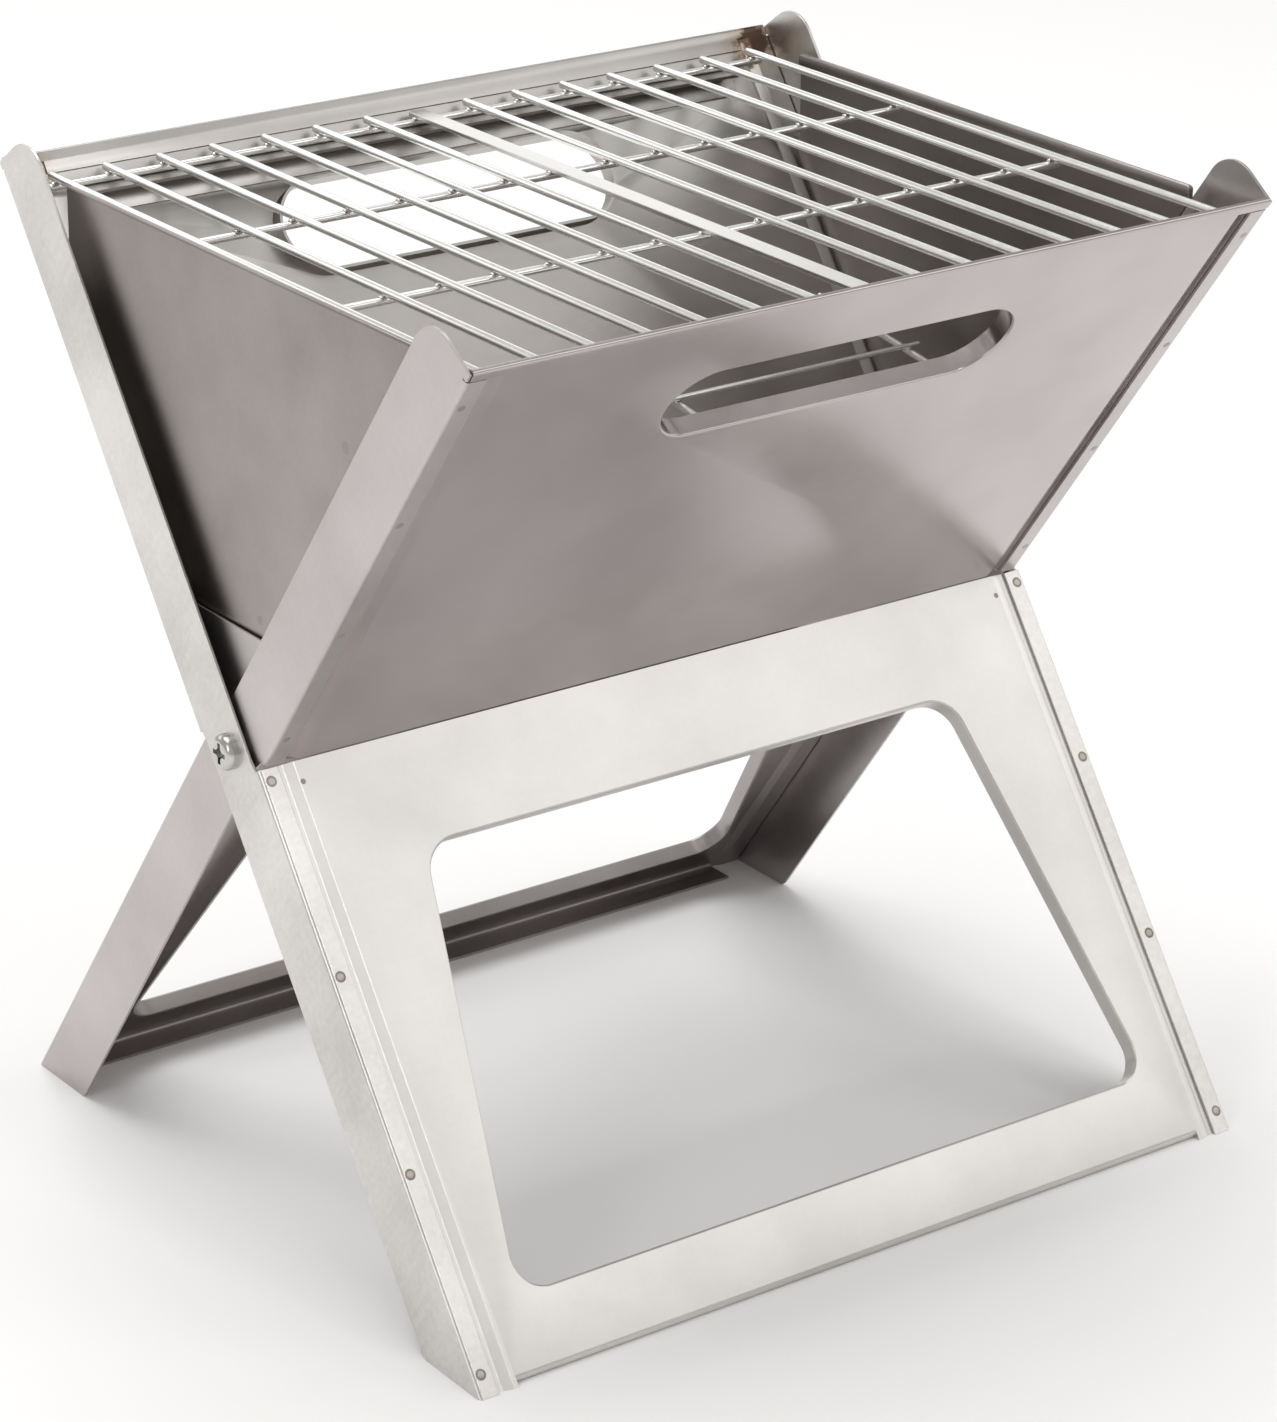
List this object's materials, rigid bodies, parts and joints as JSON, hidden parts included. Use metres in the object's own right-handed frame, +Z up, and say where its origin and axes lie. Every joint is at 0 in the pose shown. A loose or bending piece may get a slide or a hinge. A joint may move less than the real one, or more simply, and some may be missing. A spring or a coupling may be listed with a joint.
{
  "type": "folding camp grill",
  "caption": "Folding stainless camp grill: crossing sheet frames make a V-shaped firebox and legs, with lift-out grid, grate, side panels and ash tray.",
  "frame": {"origin": "centre of the footprint on the ground, under the middle of the screw line", "axes": "+Z up, +X to the right of someone standing at the front, +Y to the back; the screw line runs along X"},
  "size_m": [0.3068, 0.2688, 0.326],
  "materials": {
    "brushed_sheet": "brushed stainless sheet",
    "side_sheet": "brushed stainless sheet",
    "tray_sheet": "brushed stainless sheet",
    "bright_wire": "bright plated wire",
    "plated_hardware": "plated"
  },
  "bodies": {
    "outer_frame": {"outer_arm_right": "brushed_sheet", "outer_arm_left": "brushed_sheet", "rear_wall": "brushed_sheet", "front_leg_panel": "brushed_sheet", "pivot_screw_right": "plated_hardware", "pivot_screw_left": "plated_hardware", "pivot_spacer_right": "plated_hardware", "pivot_spacer_left": "plated_hardware", "pivot_washer_right": "plated_hardware", "pivot_washer_left": "plated_hardware", "pivot_lock_nut_right": "plated_hardware", "pivot_lock_nut_left": "plated_hardware"},
    "inner_frame": {"inner_arm_right": "brushed_sheet", "inner_arm_left": "brushed_sheet", "front_wall": "brushed_sheet", "rear_leg_panel": "brushed_sheet"},
    "cooking_grid": {"grid_bars": "bright_wire", "grid_centre_bar": "bright_wire", "grid_cross_wire_1": "bright_wire", "grid_cross_wire_2": "bright_wire", "grid_cross_wire_3": "bright_wire", "grid_cross_wire_4": "bright_wire"},
    "charcoal_grate": {"grate_long_wires": "bright_wire", "grate_runners": "bright_wire"},
    "side_panel_right": {"side_panel_right": "side_sheet"},
    "side_panel_left": {"side_panel_left": "side_sheet"},
    "ash_tray": {"ash_tray": "tray_sheet"}
  },
  "joints": [
    {"name": "fold", "type": "hinge", "parent": "outer_frame", "child": "inner_frame", "pos_m": [0, 0, 0.162], "axis": [-1, 0, 0], "range_deg": [0, 72]},
    {"name": "grid_lift", "type": "slide", "parent": "outer_frame", "child": "cooking_grid", "axis": [0, 0, 1], "range_m": [0, 0.52779]},
    {"name": "grate_lift", "type": "slide", "parent": "outer_frame", "child": "charcoal_grate", "axis": [0, 0, 1], "range_m": [0, 0.47752]},
    {"name": "side_panel_right_lift", "type": "slide", "parent": "outer_frame", "child": "side_panel_right", "axis": [0, 0, 1], "range_m": [0, 0.47752]},
    {"name": "side_panel_left_lift", "type": "slide", "parent": "outer_frame", "child": "side_panel_left", "axis": [0, 0, 1], "range_m": [0, 0.47752]},
    {"name": "ash_tray_lift", "type": "slide", "parent": "outer_frame", "child": "ash_tray", "axis": [0, 0, 1], "range_m": [0, 0.42726]}
  ],
  "couplings": [
    {"joint": "grid_lift", "follows": "fold", "m_per_rad": 0.42},
    {"joint": "grate_lift", "follows": "fold", "m_per_rad": 0.38},
    {"joint": "side_panel_right_lift", "follows": "fold", "m_per_rad": 0.38},
    {"joint": "side_panel_left_lift", "follows": "fold", "m_per_rad": 0.38},
    {"joint": "ash_tray_lift", "follows": "fold", "m_per_rad": 0.34}
  ]
}
